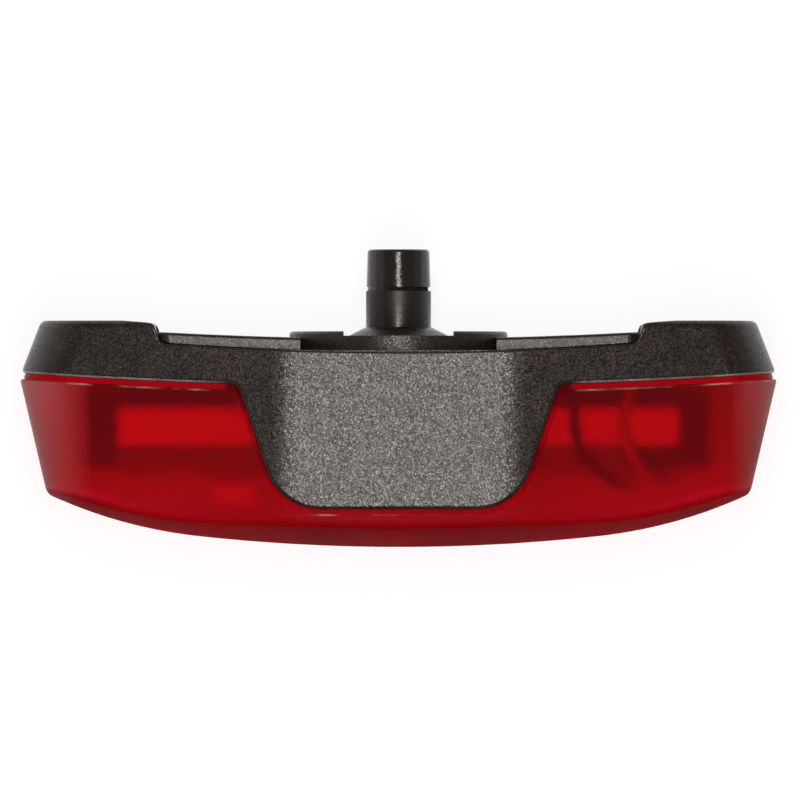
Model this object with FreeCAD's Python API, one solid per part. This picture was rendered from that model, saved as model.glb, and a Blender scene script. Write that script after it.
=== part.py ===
import FreeCAD, Part
import math
import os

V = FreeCAD.Vector

# Frame
# X runs across the light, +Y points to the helmet, +Z is up in use.
# The origin is the foot of the peg's cylinder, on the peg's axis. Sizes are in millimetres.

# Body section, seen from the rider's back
HALF_HEIGHT = 13.8          # half the height at the middle
FLAT_HALF = 10.2            # half the width of the flat middle
BEND_R = 12.0               # bend between the flat middle and the slopes
SLOPE_DEG = 11.0            # fall of the top towards the ends
END_CORNER_R = 6.0          # rounding between a slope and the end

# Body plan, seen from above
WIDEST_HALF = 37.8          # half the width where housing and lens would meet
WIDEST_IN = 0.35            # the widest place lies in the groove, this far in front of its rear edge
HOUSING_FLARE = 0.39        # growth of the half width per mm towards the widest place
LENS_TAPER = 0.235          # loss of the half width per mm towards the front
PARTING_Y = -5.97           # joint line between housing and lens, at the middle
PARTING_R = 542.0
PAD_Y = 0.6                 # rear faces of the two end pads
PAD_EDGE_X = 24.35          # inner edge of a pad
PAD_EDGE_Y = 0.32
PAD_BREAK_X = 25.2          # the pad's first slope changes here
PAD_BREAK_Y = 0.43
PAD_FLAT_X = 27.5           # a pad is level outside this
PAD_FLAT_R = 4.0
PAD_FOOT_X = 23.6           # foot of the step from the pad down to the seam
PAD_CORNER_R = 0.9
PAD_SKIM = 0.04             # the level face is cut this far under the top of that rounding
SEAM_Y = -2.55              # rear edge of the housing wall, at the middle
SEAM_R = 320.0
SEAM_END_IN = 1.6           # the seam's curve ends this far inside the step's foot
SEAM_GAP = 0.12
SEAM_EDGE_R = 0.2
STEP_RADII = (0.8, 0.5)     # foot and edge of the step to a pad

# Front of the lens
FRONT_Y = -22.0
FRONT_MIDDLE_R = 185.0      # plan radius of the front's middle stretch
FRONT_END_R = 48.0          # plan radius towards the ends, and radius of the upright bulge
FRONT_MIDDLE_HALF = 20.0    # the end radius starts here
FRONT_EDGE_R = 1.0          # rounding of the edge between the front and the sides
FRONT_TALL = 18.0           # half the height of the form that the bulge is turned from
FRONT_SWEEP_DEG = 100.0

# Walls
HOUSING_WALL = 1.6
LEDGE_WALL = 2.6            # thicker wall behind the gasket
BROW_WALL = 1.3
LENS_WALL = 2.0
TONGUE_OUT = 1.7            # the lens tongue lies between these two insets
TONGUE_IN = 2.6
FIT = 0.05                  # gap between fixed pieces that nest
LOOSE = 0.15                # gap between nested pieces that are handled

# Brow, the flap of the housing over the lens, above and below
BROW_HALF = 15.9            # half the width at BROW_TOP_Y
BROW_TOP_Y = -5.9
BROW_SIDE = 0.338           # loss of the half width per mm towards the front
BROW_FRONT_Y = -18.15
BROW_CORNER_R = 5.6
BROW_ROOT_R = 1.2
BROW_EDGE_R = 0.42
BROW_GAP = 0.45             # groove round the brow

# Groove between housing and lens
GROOVE = 0.55
GROOVE_DEPTH = 0.45
LENS_EDGE_R = 0.22
LENS_CORNER_R = 1.6         # corner of the lens beside the brow's root
TONGUE_BACK = 0.8           # how far the tongue runs back past the joint line
TONGUE_ROOT = 1.2
GASKET_THICK = 0.5

# Back plate
PLATE_Y = -1.2              # rear face at the middle
PLATE_R = 430.0
PLATE_EDGE_R = 0.3
PLATE_HALF_HEIGHT = 11.45   # nearly flat top, lower than the housing's
PLATE_END_INSET = 0.4       # how far it lies back from the housing's top at the plate's end
PLATE_CORNER_R = 1.2
PLATE_FLOOR_Y = -3.4
PLATE_SPIGOT_HALF = 24.2    # reaches past the flange, so the groove at its end has a bottom
PLATE_SPIGOT_TOP = 0.4      # the spigot starts this far under the rear face
PLATE_END_GAP = 0.44        # groove between the plate's end and a pad
PLATE_FOOT_IN = 1.0
PLATE_FOOT_RISE = 0.15
PAD_WALL = 1.55             # wall between the plate's recess and the room under a pad
NOTCH_HALF = 9.75           # finger notch that shows the rim of the door
NOTCH_IN = 5.8              # the notch bares the whole width of the rim

# Coin cell
CELL_R = 10.0
CELL_THICK = 3.2
CELL_BACK_Y = -4.35
CELL_GAP = 0.2
CELL_STEP = 0.35            # the smaller pole stands out this far
CELL_STEP_IN = 1.1
CELL_EDGE_R = 0.3

# Battery door with its peg
DOOR_R = 10.9
DOOR_BACK_Y = -0.9          # level of the channel between the grips
DOOR_GRIP = 0.45            # height of the grips
DOOR_CHANNEL_HALF = 5.5
DOOR_THICK = 1.4
DOOR_BOSS_R = 10.0
DOOR_HOLE_R = 10.25
DOOR_EDGE_R = 0.35
LUG_R = 10.95
LUG_THICK = 0.7
LUG_HALF_DEG = 15.0
LUG_SLOT_DEG = 2.0          # play at each side of a lug in its slot
LUG_ROOT = 1.0
DOOR_TURN_DEG = 50.0
PEG_R = 3.25
PEG_LOWER = 3.6             # length of the lower stretch
PEG_GROOVE = 0.4
PEG_GROOVE_DEPTH = 0.16
PEG_GROOVE_SHIFT = 0.12     # the groove is deeper on one side
PEG_HEAD_R = 3.2
PEG_TIP_R = 3.1
PEG_LENGTH = 7.75
PEG_TIP_CORNER = 0.3
FLARE_R = 5.0
FLARE_SINK = 0.5            # the flare is rooted this deep in the door
PEG_SLOT = 0.25             # moulded slot along the lower stretch
PEG_SLOT_DEG = 166.0
RING_CORD_R = 0.4
RING_R = 9.8

# Carrier inside the lens
CARRIER_INSET = 4.2
CARRIER_WALL = 1.2
CARRIER_HALF = 31.0
CARRIER_BACK_Y = -6.7
CARRIER_FRONT_Y = -14.3
CARRIER_FLOOR = 1.2
CUP_WALL = 0.8
CUP_FLOOR = 0.8
CUP_BACK_Y = -4.3
POST_R = 1.8
POST_IN = 3.5               # a post stands this far inside the board's end
CHANNEL_IN = 2.5            # a strip's channel starts this far inside the cell's edge
STEM_ROOM = 0.7
BAR_HALF = 27.7             # white bar on the carrier
BAR_BACK_Y = -8.1
BAR_FRONT_Y = -11.8
BAR_THICK = 0.65

# Circuit board and what it carries
BOARD_HALF = 27.5
BOARD_THICK = 1.0
BOARD_INSET = 4.6
LED_X = 16.0
LED_Z = 6.5
LED_WIDE = 4.2
LED_NARROW = 3.2
LED_BASE = 1.2
LED_STEM_R = 1.6
LED_DOME_R = 1.7
LED_TALL = 3.1
CHIP_X = -14.0
CHIP_SIDE = 4.4
CHIP_THICK = 1.1
CAP_X = 14.0
CAP_R = 1.6
CAP_TALL = 3.0
RESISTOR = (1.6, 0.5, 0.8)
RESISTOR_X = 6.0
RESISTOR_Z = 3.0
RESISTOR_PITCH = 3.2
RESISTOR_COUNT = 4

# Button in the lower brow
BUTTON_Y = -12.0
BUTTON_HALF = 6.0
BUTTON_R = 3.3
BUTTON_PROUD = 0.5
BUTTON_TRAVEL = 0.5
BUTTON_EDGE_R = 0.45
BUTTON_FLANGE = 1.2
BUTTON_FLANGE_THICK = 0.6
BUTTON_STEM_R = 1.5
SWITCH_HALF = 3.0
SWITCH_DEEP = 4.0
SWITCH_TALL = 3.2
SWITCH_IN = 5.9             # depth of its face under the housing's underside
PLUNGER_R = 1.0
PLUNGER_OUT = 0.8
PLUNGER_IN = 1.0

# Screws
SCREW_X = 19.5
SCREW_Z = 6.5
SCREW_R = 1.0
SCREW_HEAD_R = 1.7
SCREW_HEAD = 1.1
SCREW_SINK = 0.15
HEAD_ROUND = 0.4            # rounding, depth and reach of the cross as shares of a head
CROSS_DEPTH = 0.55
CROSS_REACH = 1.3
CROSS = 0.45                # width of the cross recess
BOSS_R = 2.1
BOSS_BOTTOM_Y = -6.55
BOSS_FLOOR = 0.5            # closed bottom of a boss
SCREW_SHORT = 0.2           # a screw ends this far above it
BOARD_SCREW_R = 0.8
BOARD_SCREW_HEAD_R = 1.4
BOARD_SCREW_HEAD = 0.8
BOARD_SCREW_LONG = 4.5

# Contacts and wires
STRIP = 0.25
STRIP_WIDE = 3.0
STRIP_Z = 4.5
STRIP_END_X = 12.3
TAB_OUT = 1.2               # a strip's tab stands out of the carrier's back
TIP_X = -4.0                # raised tip that touches the cell
TIP_LONG = 3.0
LEAF_GAP = 0.1
LEAF_BACK = 0.6
LEAF_FRONT = 0.5
WIRE_R = 0.5
WIRE_BEND = 0.45            # share of the shorter run that an arc may take
WIRE_CLEAR = 0.25
TONGUE_PASS = 3.25          # inset of the wires where they pass the tongue

FAR = 60.0
TALL = 20.0


def tangent(p, q):
    """Unit vector from p to q."""
    step = q - p
    return step.normalize()


def rounded_edges(points, radii):
    """Lines through the points, with an arc at each inner point."""
    edges = []
    start = points[0]
    for i in range(1, len(points) - 1):
        into = tangent(points[i - 1], points[i])
        out = tangent(points[i], points[i + 1])
        turn = into.getAngle(out)
        reach = radii[i - 1] * math.tan(turn / 2)
        a = points[i] - into * reach
        b = points[i] + out * reach
        inward = (out - into).normalize()
        middle = points[i] + inward * (radii[i - 1] / math.cos(turn / 2) - radii[i - 1])
        edges.append(Part.LineSegment(start, a).toShape())
        edges.append(Part.Arc(a, middle, b).toShape())
        start = b
    edges.append(Part.LineSegment(start, points[-1]).toShape())
    return edges


def upright(edges):
    """Closed plan outline made a prism through the whole height."""
    face = Part.Face(Part.Wire(Part.__sortEdges__(edges)))
    prism = face.extrude(V(0, 0, 2 * TALL))
    prism.translate(V(0, 0, -TALL))
    return prism


def slab(x0, x1, y0, y1, z0, z1):
    """Box between two corners."""
    return Part.makeBox(x1 - x0, y1 - y0, z1 - z0, V(x0, y0, z0))


def round_bar(radius, y_front, y_back, x=0.0, z=0.0):
    """Cylinder along Y."""
    return Part.makeCylinder(radius, y_back - y_front, V(x, y_front, z), V(0, 1, 0))


def arc_height(x, middle_y, radius):
    """Depth of a plan curve that bends back towards the ends."""
    return middle_y + x * x / (2 * radius)


def widest_y():
    return arc_height(WIDEST_HALF, PARTING_Y, PARTING_R) - WIDEST_IN


def half_width(y):
    """Half the width of the whole body at one depth."""
    if y > widest_y():
        return WIDEST_HALF - HOUSING_FLARE * (y - widest_y())
    return WIDEST_HALF - LENS_TAPER * (widest_y() - y)


def quarter(y, inset):
    """Upper right part of the body section, as vectors and arc middles."""
    slope = math.radians(SLOPE_DEG)
    bend = BEND_R - inset
    corner = END_CORNER_R - inset
    reach = FLAT_HALF * math.sin(slope) + (HALF_HEIGHT - BEND_R) * math.cos(slope) + BEND_R
    cx = half_width(y) - END_CORNER_R
    cz = (reach - END_CORNER_R - math.sin(slope) * cx) / math.cos(slope)
    half_turn = (math.pi / 2 + slope) / 2

    def on_bend(angle):
        return V(FLAT_HALF + bend * math.sin(angle), y, HALF_HEIGHT - BEND_R + bend * math.cos(angle))

    def on_corner(angle):
        return V(cx + corner * math.sin(angle), y, cz + corner * math.cos(angle))

    return [on_bend(0), on_bend(slope / 2), on_bend(slope),
            on_corner(slope), on_corner(half_turn), on_corner(math.pi / 2)]


def slope_z(x, inset):
    """Height of the sloped top at one place, drawn in by an inset."""
    slope = math.radians(SLOPE_DEG)
    bend = BEND_R - inset
    foot = FLAT_HALF + bend * math.sin(slope)
    return HALF_HEIGHT - BEND_R + bend * math.cos(slope) - (x - foot) * math.tan(slope)


def mirrored(point, sx, sz):
    return V(point.x * sx, point.y, point.z * sz)


def section(y, inset):
    """Closed body section at one depth."""
    edges = []
    right_top = quarter(y, inset)
    right = right_top + [mirrored(p, 1, -1) for p in reversed(right_top)]
    left = [mirrored(p, -1, 1) for p in reversed(right)]
    ring = right + left
    kinds = ["arc", "line", "arc", "line", "arc", "line", "arc", "line"] * 2
    i = 0
    for kind in kinds:
        if kind == "arc":
            edges.append(Part.Arc(ring[i], ring[i + 1], ring[i + 2]).toShape())
            i += 2
        else:
            edges.append(Part.LineSegment(ring[i], ring[(i + 1) % len(ring)]).toShape())
            i += 1
    return Part.Wire(edges)


def body_form(inset, y_front=-26.0, y_back=3.0):
    """Whole body as a solid, drawn in by an inset."""
    stations = [y_front, widest_y(), y_back]
    return Part.makeLoft([section(y, inset) for y in stations], True, True)


def plan_arc(middle_y, radius, half):
    """Plan curve through the middle, from one side to the other."""
    left = V(-half, arc_height(half, middle_y, radius), 0)
    right = V(half, arc_height(half, middle_y, radius), 0)
    return Part.Arc(left, V(0, middle_y, 0), right).toShape()


def in_front_of(middle_y, radius):
    """Everything in front of a plan curve."""
    end_y = arc_height(FAR, middle_y, radius)
    a = V(FAR, end_y, 0)
    b = V(FAR, -FAR, 0)
    c = V(-FAR, -FAR, 0)
    d = V(-FAR, end_y, 0)
    edges = [plan_arc(middle_y, radius, FAR)]
    edges += [Part.LineSegment(p, q).toShape() for p, q in ((a, b), (b, c), (c, d))]
    return upright(edges)


def front_form(inset):
    """Everything behind the bulged front, drawn in by an inset."""
    swing = math.asin(FRONT_MIDDLE_HALF / FRONT_MIDDLE_R)
    reach = FRONT_MIDDLE_R - FRONT_END_R
    middle = V(0, FRONT_Y + FRONT_MIDDLE_R, 0)
    bulge = FRONT_END_R - inset
    top = FRONT_TALL
    lean = math.asin(top / bulge)
    parts = []
    for side in (-1, 1):
        hub = middle + V(side * reach * math.sin(swing), -reach * math.cos(swing), 0)
        a = hub + V(0, -bulge * math.cos(lean), -top)
        b = hub + V(0, -bulge, 0)
        c = hub + V(0, -bulge * math.cos(lean), top)
        edges = [Part.Arc(a, b, c).toShape(),
                 Part.LineSegment(c, hub + V(0, 0, top)).toShape(),
                 Part.LineSegment(hub + V(0, 0, top), hub + V(0, 0, -top)).toShape(),
                 Part.LineSegment(hub + V(0, 0, -top), a).toShape()]
        face = Part.Face(Part.Wire(edges))
        face.rotate(hub, V(0, 0, 1), side * math.degrees(swing))
        parts.append(face.revolve(hub, V(0, 0, 1), side * FRONT_SWEEP_DEG))
        if side < 0:
            parts.append(face.revolve(middle, V(0, 0, 1), 2 * math.degrees(swing)))
    return parts[0].fuse(parts[1:]).removeSplitter()


def brow_prism(gap):
    """Plan of the brow, grown by a gap."""
    lean = math.atan(BROW_SIDE)
    front = BROW_FRONT_Y - gap
    side = gap / math.cos(lean)
    back = 0.0

    def half(y):
        return BROW_HALF - BROW_SIDE * (BROW_TOP_Y - y) + side

    points = [V(half(back), back, 0), V(half(front), front, 0),
              V(-half(front), front, 0), V(-half(back), back, 0)]
    edges = rounded_edges(points, [BROW_CORNER_R + gap] * 2)
    edges.append(Part.LineSegment(points[-1], points[0]).toShape())
    return upright(edges)


def edges_near(shape, test):
    """Edges whose middle passes a test."""
    found = []
    for edge in shape.Edges:
        middle = edge.valueAt((edge.FirstParameter + edge.LastParameter) / 2)
        if test(edge, middle):
            found.append(edge)
    return found


def edges_on(shape, plan, y_low, y_high):
    """Edges that lie on the upright walls of a plan, but don't stand upright themselves."""
    walls = [f for f in plan.Faces if abs(f.normalAt(0, 0).z) < 0.5]
    wall = Part.makeCompound(walls)

    def fits(edge, middle):
        a = edge.valueAt(edge.FirstParameter)
        b = edge.valueAt(edge.LastParameter)
        level = abs(a.x - b.x) + abs(a.y - b.y) > 0.01 or abs(a.z + b.z) > 0.01
        standing = not level and abs(a.z) > HALF_HEIGHT / 2
        inside = y_low < middle.y < y_high
        return inside and not standing and wall.distToShape(Part.Vertex(middle))[0] < 0.005

    return edges_near(shape, fits)


def housing_plan():
    """Plan of the housing: behind the joint line, with the brow in front of it."""
    behind = slab(-FAR, FAR, -FAR, FAR, -TALL, TALL).cut(in_front_of(PARTING_Y, PARTING_R))
    plan = behind.fuse(brow_prism(0.0)).removeSplitter()
    root_y = arc_height(BROW_HALF, PARTING_Y, PARTING_R)
    roots = edges_near(plan, lambda e, m: abs(m.y - root_y) < 0.2
                       and abs(abs(m.x) - BROW_HALF) < 0.5 and e.Length > TALL)
    plan = plan.makeFillet(BROW_ROOT_R, roots)
    return plan.common(housing_rear())


def housing_rear():
    """Everything in front of the housing's rear edge, with the two end pads."""
    seam_half = PAD_FOOT_X - SEAM_END_IN
    seam_end = arc_height(seam_half, SEAM_Y, SEAM_R)
    foot_y = arc_height(PAD_FOOT_X, SEAM_Y, SEAM_R)
    step = [V(seam_half, seam_end, 0), V(PAD_FOOT_X, foot_y, 0), V(PAD_EDGE_X, PAD_EDGE_Y, 0),
            V(PAD_BREAK_X, PAD_BREAK_Y, 0)]
    pad = [V(PAD_BREAK_X, PAD_BREAK_Y, 0), V(PAD_FLAT_X, PAD_Y, 0), V(FAR, PAD_Y, 0)]
    edges = [plan_arc(SEAM_Y, SEAM_R, seam_half)]
    for points, radii in ((step, STEP_RADII), (pad, [PAD_FLAT_R])):
        edges += rounded_edges(points, radii)
        edges += rounded_edges([mirrored(p, -1, 1) for p in points], radii)
    corners = [V(FAR, PAD_Y, 0), V(FAR, -FAR, 0), V(-FAR, -FAR, 0), V(-FAR, PAD_Y, 0)]
    for p, q in zip(corners, corners[1:]):
        edges.append(Part.LineSegment(p, q).toShape())
    return upright(edges)


def stadium(half, radius, z0, z1, y=BUTTON_Y):
    """Oval bar along Z, long across the light."""
    run = half - radius
    middle = slab(-run, run, y - radius, y + radius, z0, z1)
    ends = [Part.makeCylinder(radius, z1 - z0, V(s * run, y, z0)) for s in (-1, 1)]
    return middle.fuse(ends).removeSplitter()


def screw_places():
    return [(sx * SCREW_X, sz * SCREW_Z) for sx in (-1, 1) for sz in (-1, 1)]


def ledge_y():
    """Ledge behind the gasket, at the middle."""
    return PARTING_Y + TONGUE_BACK + GASKET_THICK + 2 * FIT


def housing_hollow():
    """Room inside the housing, open to the back plate between the pads."""
    front_part = body_form(HOUSING_WALL).common(in_front_of(ledge_y(), PARTING_R))
    inner_end = PLATE_SPIGOT_HALF + LOOSE
    pad_wall = inner_end + PAD_WALL
    roof_y = PAD_Y - HOUSING_WALL
    sill_y = PLATE_FLOOR_Y - FIT
    points = [V(-FAR, roof_y, 0), V(-pad_wall, roof_y, 0), V(-pad_wall, sill_y, 0),
              V(-inner_end, sill_y, 0), V(-inner_end, FAR, 0)]
    points += [mirrored(p, -1, 1) for p in reversed(points)]
    points += [V(FAR, -FAR, 0), V(-FAR, -FAR, 0), points[0]]
    edges = [Part.LineSegment(p, q).toShape() for p, q in zip(points, points[1:])]
    rear_part = body_form(LEDGE_WALL).common(upright(edges))
    return front_part, rear_part


def housing_bosses():
    """Four screw bosses, each hung from the thick wall by a rib."""
    rib_front = arc_height(SCREW_X + BOSS_R, ledge_y(), PARTING_R)
    top = PLATE_FLOOR_Y - FIT
    bosses = []
    for x, z in screw_places():
        boss = round_bar(BOSS_R, BOSS_BOTTOM_Y, top, x, z)
        wall_z = math.copysign(HALF_HEIGHT, z)
        rib = slab(x - BOSS_R, x + BOSS_R, rib_front, top, min(z, wall_z), max(z, wall_z))
        bosses.append(boss.fuse(rib.common(body_form(HOUSING_WALL))))
    return bosses


def rear_rounded_form():
    """Whole body that ends at the pads, with its rear edges rounded."""
    back = PAD_Y + PAD_SKIM
    form = body_form(0.0, y_back=back)
    rim = edges_near(form, lambda e, m: abs(m.y - back) < 0.01)
    return form.makeFillet(PAD_CORNER_R, rim)


def make_housing():
    plan = housing_plan()
    outer = rear_rounded_form().common(plan)
    parting_end = arc_height(WIDEST_HALF, PARTING_Y, PARTING_R)
    outer = outer.makeFillet(BROW_EDGE_R, edges_on(outer, plan, -FAR, parting_end + BROW_EDGE_R))
    outer = outer.makeFillet(SEAM_EDGE_R, edges_on(outer, plan, SEAM_Y - SEAM_GAP, PAD_BREAK_Y))
    front_part, rear_part = housing_hollow()
    shell = outer.cut(front_part).cut(rear_part)
    shell = shell.cut(body_form(BROW_WALL).common(in_front_of(PARTING_Y, PARTING_R)))
    for boss in housing_bosses():
        shell = shell.fuse(boss)
    for x, z in screw_places():
        shell = shell.cut(round_bar(SCREW_R + FIT, BOSS_BOTTOM_Y + BOSS_FLOOR, 0.0, x, z))
    hole = stadium(BUTTON_HALF + LOOSE, BUTTON_R + LOOSE, -TALL, 0.0)
    return shell.cut(hole).removeSplitter()


def lens_face():
    """Outer part of the lens as a block, with the brow's seat cut in and every edge softened."""
    form = body_form(0.0).common(front_form(0.0))
    form = form.makeFillet(FRONT_EDGE_R, edges_near(form, lambda e, m: m.y < CARRIER_FRONT_Y))
    skin = form.Shells[0]
    rear_plan = in_front_of(PARTING_Y - GROOVE, PARTING_R)
    brow_plan = brow_prism(BROW_GAP)
    face = form.common(rear_plan).cut(brow_plan.cut(body_form(BROW_WALL + FIT)))
    corner_y = arc_height(BROW_HALF, PARTING_Y - GROOVE, PARTING_R)
    corners = edges_near(face, lambda e, m: abs(m.y - corner_y) < 0.1 and e.Length < 2 * BROW_WALL
                         and abs(abs(m.x) - BROW_HALF) < 2 * BROW_GAP and abs(e.tangentAt(0).z) > 0.9)
    face = face.makeFillet(LENS_CORNER_R, corners)
    seams = edges_on(face, rear_plan, -FAR, 0.0) + edges_on(face, brow_plan, -FAR, 0.0)
    seams += edges_near(face, lambda e, m: abs(abs(m.x) - BROW_HALF) < LENS_CORNER_R
                        and abs(m.y - corner_y) < LENS_CORNER_R / 2)
    rim = []
    for edge in seams:
        middle = edge.valueAt((edge.FirstParameter + edge.LastParameter) / 2)
        outside = skin.distToShape(Part.Vertex(middle))[0] < 0.005
        if outside and not any(edge.isSame(other) for other in rim):
            rim.append(edge)
    return face.makeFillet(LENS_EDGE_R, rim)


def make_lens():
    under_brow = brow_prism(BROW_GAP).fuse(housing_plan()).cut(body_form(BROW_WALL + FIT))
    root = in_front_of(PARTING_Y - TONGUE_ROOT, PARTING_R)
    neck = body_form(GROOVE_DEPTH).common(in_front_of(PARTING_Y, PARTING_R)).cut(root)
    tongue = body_form(TONGUE_OUT).common(in_front_of(PARTING_Y + TONGUE_BACK, PARTING_R)).cut(root)
    hollow = body_form(LENS_WALL).common(front_form(LENS_WALL))
    hollow = hollow.common(in_front_of(PARTING_Y, PARTING_R))
    tongue_hollow = body_form(TONGUE_IN).cut(in_front_of(PARTING_Y - TONGUE_ROOT - FIT, PARTING_R))
    lens = lens_face().fuse(neck.cut(under_brow)).cut(hollow)
    lens = lens.fuse(tongue.cut(tongue_hollow))
    hole_half = BUTTON_HALF + BUTTON_FLANGE + LOOSE
    hole = stadium(hole_half, BUTTON_R + BUTTON_FLANGE + LOOSE, -TALL, 0.0)
    return lens.cut(hole).removeSplitter()


def make_gasket():
    near = PARTING_Y + TONGUE_BACK + FIT
    band = in_front_of(near + GASKET_THICK, PARTING_R).cut(in_front_of(near, PARTING_R))
    ring = body_form(TONGUE_OUT).cut(body_form(TONGUE_IN - 2 * FIT))
    return ring.common(band)


def plate_form(half):
    """Bar along Y with the plate's section: nearly flat above and below, rounded at the ends."""
    end_z = slope_z(half, PLATE_END_INSET)
    level = [V(-half, 0, end_z), V(0, 0, PLATE_HALF_HEIGHT), V(half, 0, end_z)]
    low = [mirrored(p, 1, -1) for p in reversed(level)]
    edges = [Part.Arc(*level).toShape(), Part.LineSegment(level[-1], low[0]).toShape(),
             Part.Arc(*low).toShape(), Part.LineSegment(low[-1], level[0]).toShape()]
    bar = Part.Face(Part.Wire(edges)).extrude(V(0, 2 * TALL, 0))
    bar.translate(V(0, -TALL, 0))
    return bar.makeFillet(PLATE_CORNER_R, edges_near(bar, lambda e, m: abs(m.y) < 0.01))


def make_back_plate():
    half = PAD_EDGE_X - PLATE_END_GAP
    edge_y = arc_height(half, PLATE_Y, PLATE_R)
    foot = PAD_FOOT_X - SEAM_GAP
    seam_half = PAD_FOOT_X - PLATE_FOOT_IN
    under = SEAM_Y + SEAM_GAP
    right = [V(half, edge_y, 0), V(foot, arc_height(foot, under, SEAM_R) + PLATE_FOOT_RISE, 0),
             V(seam_half, arc_height(seam_half, under, SEAM_R), 0)]
    edges = [plan_arc(PLATE_Y, PLATE_R, half), plan_arc(under, SEAM_R, seam_half)]
    for p, q in zip(right, right[1:]):
        edges.append(Part.LineSegment(p, q).toShape())
        edges.append(Part.LineSegment(mirrored(p, -1, 1), mirrored(q, -1, 1)).toShape())
    flange = plate_form(half).common(upright(edges))
    spigot = body_form(LEDGE_WALL + LOOSE)
    spigot = spigot.common(slab(-PLATE_SPIGOT_HALF, PLATE_SPIGOT_HALF, PLATE_FLOOR_Y,
                                PLATE_Y - PLATE_SPIGOT_TOP, -TALL, TALL))
    plate = flange.fuse(spigot)
    floor_y = DOOR_BACK_Y - DOOR_THICK - FIT
    plate = plate.cut(round_bar(DOOR_R + LOOSE, floor_y, FAR))
    plate = plate.cut(round_bar(DOOR_HOLE_R, -FAR, FAR))
    for sz in (-1, 1):
        z0 = min(sz * (DOOR_R - NOTCH_IN), sz * TALL)
        z1 = max(sz * (DOOR_R - NOTCH_IN), sz * TALL)
        plate = plate.cut(slab(-NOTCH_HALF, NOTCH_HALF, floor_y, FAR, z0, z1))
    for turn in (0.0, 180.0):
        slot = lug(LUG_R + LOOSE, LUG_HALF_DEG + LUG_SLOT_DEG, -FAR, floor_y)
        slot.rotate(V(0, 0, 0), V(0, 1, 0), DOOR_TURN_DEG + turn)
        plate = plate.cut(slot)
    seat = screw_seat_y()
    for x, z in screw_places():
        plate = plate.cut(round_bar(SCREW_R + 2 * FIT, -FAR, FAR, x, z))
        plate = plate.cut(round_bar(SCREW_HEAD_R + LOOSE, seat, FAR, x, z))
    plate = plate.removeSplitter()
    rim = edges_near(plate, lambda e, m: abs(m.y - arc_height(m.x, PLATE_Y, PLATE_R)) < 0.01
                     and abs(m.z) > HALF_HEIGHT / 2 and abs(m.x) > NOTCH_HALF + 0.5
                     and abs(e.tangentAt(e.FirstParameter).z) < 0.5 and e.Length > 2.0)
    return plate.makeFillet(PLATE_EDGE_R, rim)


def screw_seat_y():
    """Level that the cover screws' heads rest on."""
    return arc_height(SCREW_X, PLATE_Y, PLATE_R) - SCREW_HEAD - SCREW_SINK


def lug(radius, half_deg, y0, y1):
    """Sector of a disc about Y, centred on +X."""
    height = y1 - y0
    sector = Part.makeCylinder(radius, height, V(0, y0, 0), V(0, 1, 0), 2 * half_deg)
    middle = sector.CenterOfMass
    angle = math.degrees(math.atan2(middle.z, middle.x))
    sector.rotate(V(0, 0, 0), V(0, 1, 0), angle)
    return sector


def peg_form():
    """Peg with its flared foot, turned about Y."""
    foot = DOOR_BACK_Y
    top = PEG_LENGTH
    c = PEG_TIP_CORNER
    head_y = PEG_LOWER + PEG_GROOVE
    groove_r = PEG_R - PEG_GROOVE_DEPTH
    root = foot - FLARE_SINK
    points = [V(0, root, 0), V(FLARE_R, root, 0), V(FLARE_R, foot, 0)]
    edges = [Part.LineSegment(p, q).toShape() for p, q in zip(points, points[1:])]
    edges.append(Part.LineSegment(points[-1], V(PEG_R, 0, 0)).toShape())
    side = [V(PEG_R, 0, 0), V(PEG_R, PEG_LOWER, 0), V(groove_r, PEG_LOWER, 0),
            V(groove_r, head_y, 0), V(PEG_HEAD_R, head_y, 0), V(PEG_TIP_R, top - c, 0)]
    edges += [Part.LineSegment(p, q).toShape() for p, q in zip(side, side[1:])]
    tip = V(PEG_TIP_R - c, top, 0)
    crown = V(PEG_TIP_R - c + c * math.sin(math.pi / 4), top - c + c * math.cos(math.pi / 4), 0)
    edges.append(Part.Arc(side[-1], crown, tip).toShape())
    edges.append(Part.LineSegment(tip, V(0, top, 0)).toShape())
    edges.append(Part.LineSegment(V(0, top, 0), points[0]).toShape())
    face = Part.Face(Part.Wire(edges))
    peg = face.revolve(V(0, 0, 0), V(0, 1, 0), 360)
    ring = round_bar(FLARE_R, PEG_LOWER, head_y, -PEG_GROOVE_SHIFT)
    ring = ring.cut(round_bar(groove_r, PEG_LOWER, head_y, -PEG_GROOVE_SHIFT))
    peg = peg.cut(ring)
    turn = math.radians(PEG_SLOT_DEG)
    slot = slab(-PEG_SLOT / 2, PEG_SLOT / 2, PEG_SLOT, PEG_LOWER, -PEG_SLOT / 2, PEG_SLOT)
    slot.translate(V(PEG_R * math.cos(turn), 0, PEG_R * math.sin(turn) - PEG_SLOT / 2))
    return peg.cut(slot)


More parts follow.
